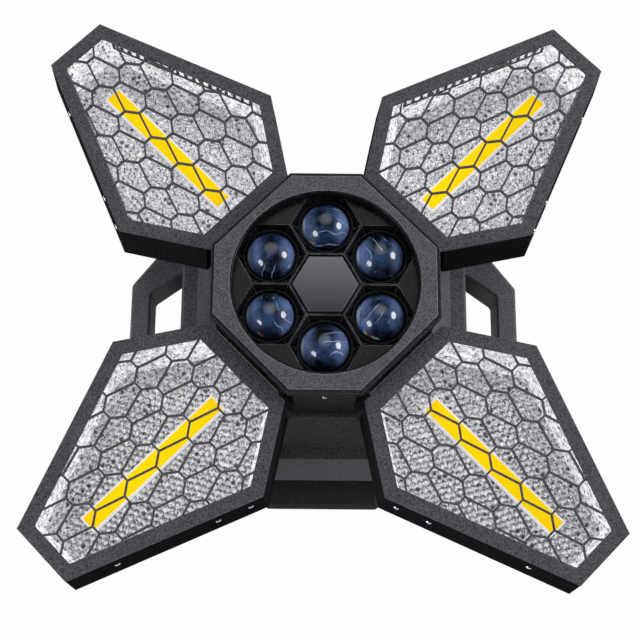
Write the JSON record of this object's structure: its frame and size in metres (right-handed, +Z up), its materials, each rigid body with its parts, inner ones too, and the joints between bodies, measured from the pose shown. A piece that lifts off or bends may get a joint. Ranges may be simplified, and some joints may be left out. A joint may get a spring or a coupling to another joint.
{
  "type": "four-wing effect light",
  "caption": "Effect light with an octagonal head of dome lenses and folding honeycomb-grilled strobe wings hinged round it, on a base box with loop handles.",
  "frame": {"origin": "middle of the base on the surface that the rubber feet stand on", "axes": "+Z up out of the lenses, -Y towards the front edge of the base, +X to the right seen from the front"},
  "size_m": [0.5996, 0.5996, 0.262],
  "materials": {
    "housing_plastic": "dark charcoal moulded plastic with a fine pebbled texture",
    "reflector_silver": "bright silver reflector stamped all over with small cups",
    "light_bar_yellow": "yellow phosphor strip with a white border",
    "hinge_steel": "black painted steel",
    "lens_clear": "clear moulded lens with a faint blue tint",
    "gloss_black": "glossy black plastic",
    "plate_steel": "black powder-coated steel",
    "foot_rubber": "matt black rubber",
    "supply_case": "plain folded metal case",
    "circuit_board": "green solder mask",
    "sink_aluminium": "bare extruded aluminium",
    "fan_plastic": "black moulded plastic",
    "button_grey": "mid grey plastic",
    "power_socket_blue": "blue moulded socket",
    "signal_socket_black": "black moulded socket"
  },
  "bodies": {
    "base": {"base_cover": "housing_plastic", "base_plate": "plate_steel", "control_board": "circuit_board", "display_window": "gloss_black", "fan_frame": "fan_plastic", "feet": "foot_rubber", "fuse_holder": "signal_socket_black", "handle_left": "housing_plastic", "handle_right": "housing_plastic", "heat_sink": "sink_aluminium", "hinge_back_left_pin": "hinge_steel", "hinge_back_left_pod_leaf": "hinge_steel", "hinge_back_right_pin": "hinge_steel", "hinge_back_right_pod_leaf": "hinge_steel", "hinge_front_left_pin": "hinge_steel", "hinge_front_left_pod_leaf": "hinge_steel", "hinge_front_right_pin": "hinge_steel", "hinge_front_right_pod_leaf": "hinge_steel", "hub_cap": "gloss_black", "led_board": "circuit_board", "lens_1": "lens_clear", "lens_2": "lens_clear", "lens_3": "lens_clear", "lens_4": "lens_clear", "lens_5": "lens_clear", "lens_6": "lens_clear", "lens_plate": "gloss_black", "pod_bezel": "housing_plastic", "pod_housing": "housing_plastic", "power_inlet": "power_socket_blue", "power_outlet": "power_socket_blue", "power_supply": "supply_case", "signal_input": "signal_socket_black", "signal_output": "signal_socket_black"},
    "wing_back_right": {"hinge_back_right_wing_leaf": "hinge_steel", "wing_back_right_frame": "housing_plastic", "wing_back_right_light_bar": "light_bar_yellow", "wing_back_right_reflector": "reflector_silver", "wing_back_right_shell": "housing_plastic"},
    "wing_back_left": {"hinge_back_left_wing_leaf": "hinge_steel", "wing_back_left_frame": "housing_plastic", "wing_back_left_light_bar": "light_bar_yellow", "wing_back_left_reflector": "reflector_silver", "wing_back_left_shell": "housing_plastic"},
    "wing_front_left": {"hinge_front_left_wing_leaf": "hinge_steel", "wing_front_left_frame": "housing_plastic", "wing_front_left_light_bar": "light_bar_yellow", "wing_front_left_reflector": "reflector_silver", "wing_front_left_shell": "housing_plastic"},
    "wing_front_right": {"hinge_front_right_wing_leaf": "hinge_steel", "wing_front_right_frame": "housing_plastic", "wing_front_right_light_bar": "light_bar_yellow", "wing_front_right_reflector": "reflector_silver", "wing_front_right_shell": "housing_plastic"},
    "button_menu": {"button_menu": "button_grey"},
    "button_down": {"button_down": "button_grey"},
    "button_up": {"button_up": "button_grey"},
    "button_enter": {"button_enter": "button_grey"},
    "fan": {"fan_rotor": "fan_plastic"}
  },
  "joints": [
    {"name": "wing_back_right_fold", "type": "hinge", "parent": "base", "child": "wing_back_right", "pos_m": [0.07729, 0.07729, 0.2313], "axis": [0.7071, -0.7071, 0], "range_deg": [0, 70]},
    {"name": "wing_back_left_fold", "type": "hinge", "parent": "base", "child": "wing_back_left", "pos_m": [-0.07729, 0.07729, 0.2313], "axis": [0.7071, 0.7071, 0], "range_deg": [0, 70]},
    {"name": "wing_front_left_fold", "type": "hinge", "parent": "base", "child": "wing_front_left", "pos_m": [-0.07729, -0.07729, 0.2313], "axis": [-0.7071, 0.7071, 0], "range_deg": [0, 70]},
    {"name": "wing_front_right_fold", "type": "hinge", "parent": "base", "child": "wing_front_right", "pos_m": [0.07729, -0.07729, 0.2313], "axis": [-0.7071, -0.7071, 0], "range_deg": [0, 70]},
    {"name": "button_menu_press", "type": "slide", "parent": "base", "child": "button_menu", "axis": [0, -1, 0], "range_m": [0, 0.001], "stiffness_N_per_m": 700, "springref_m": -0.001},
    {"name": "button_down_press", "type": "slide", "parent": "base", "child": "button_down", "axis": [0, -1, 0], "range_m": [0, 0.001], "stiffness_N_per_m": 700, "springref_m": -0.001},
    {"name": "button_up_press", "type": "slide", "parent": "base", "child": "button_up", "axis": [0, -1, 0], "range_m": [0, 0.001], "stiffness_N_per_m": 700, "springref_m": -0.001},
    {"name": "button_enter_press", "type": "slide", "parent": "base", "child": "button_enter", "axis": [0, -1, 0], "range_m": [0, 0.001], "stiffness_N_per_m": 700, "springref_m": -0.001},
    {"name": "fan_spin", "type": "hinge", "parent": "base", "child": "fan", "pos_m": [0, 0, 0.1663], "axis": [0, 0, 1], "continuous": true}
  ]
}
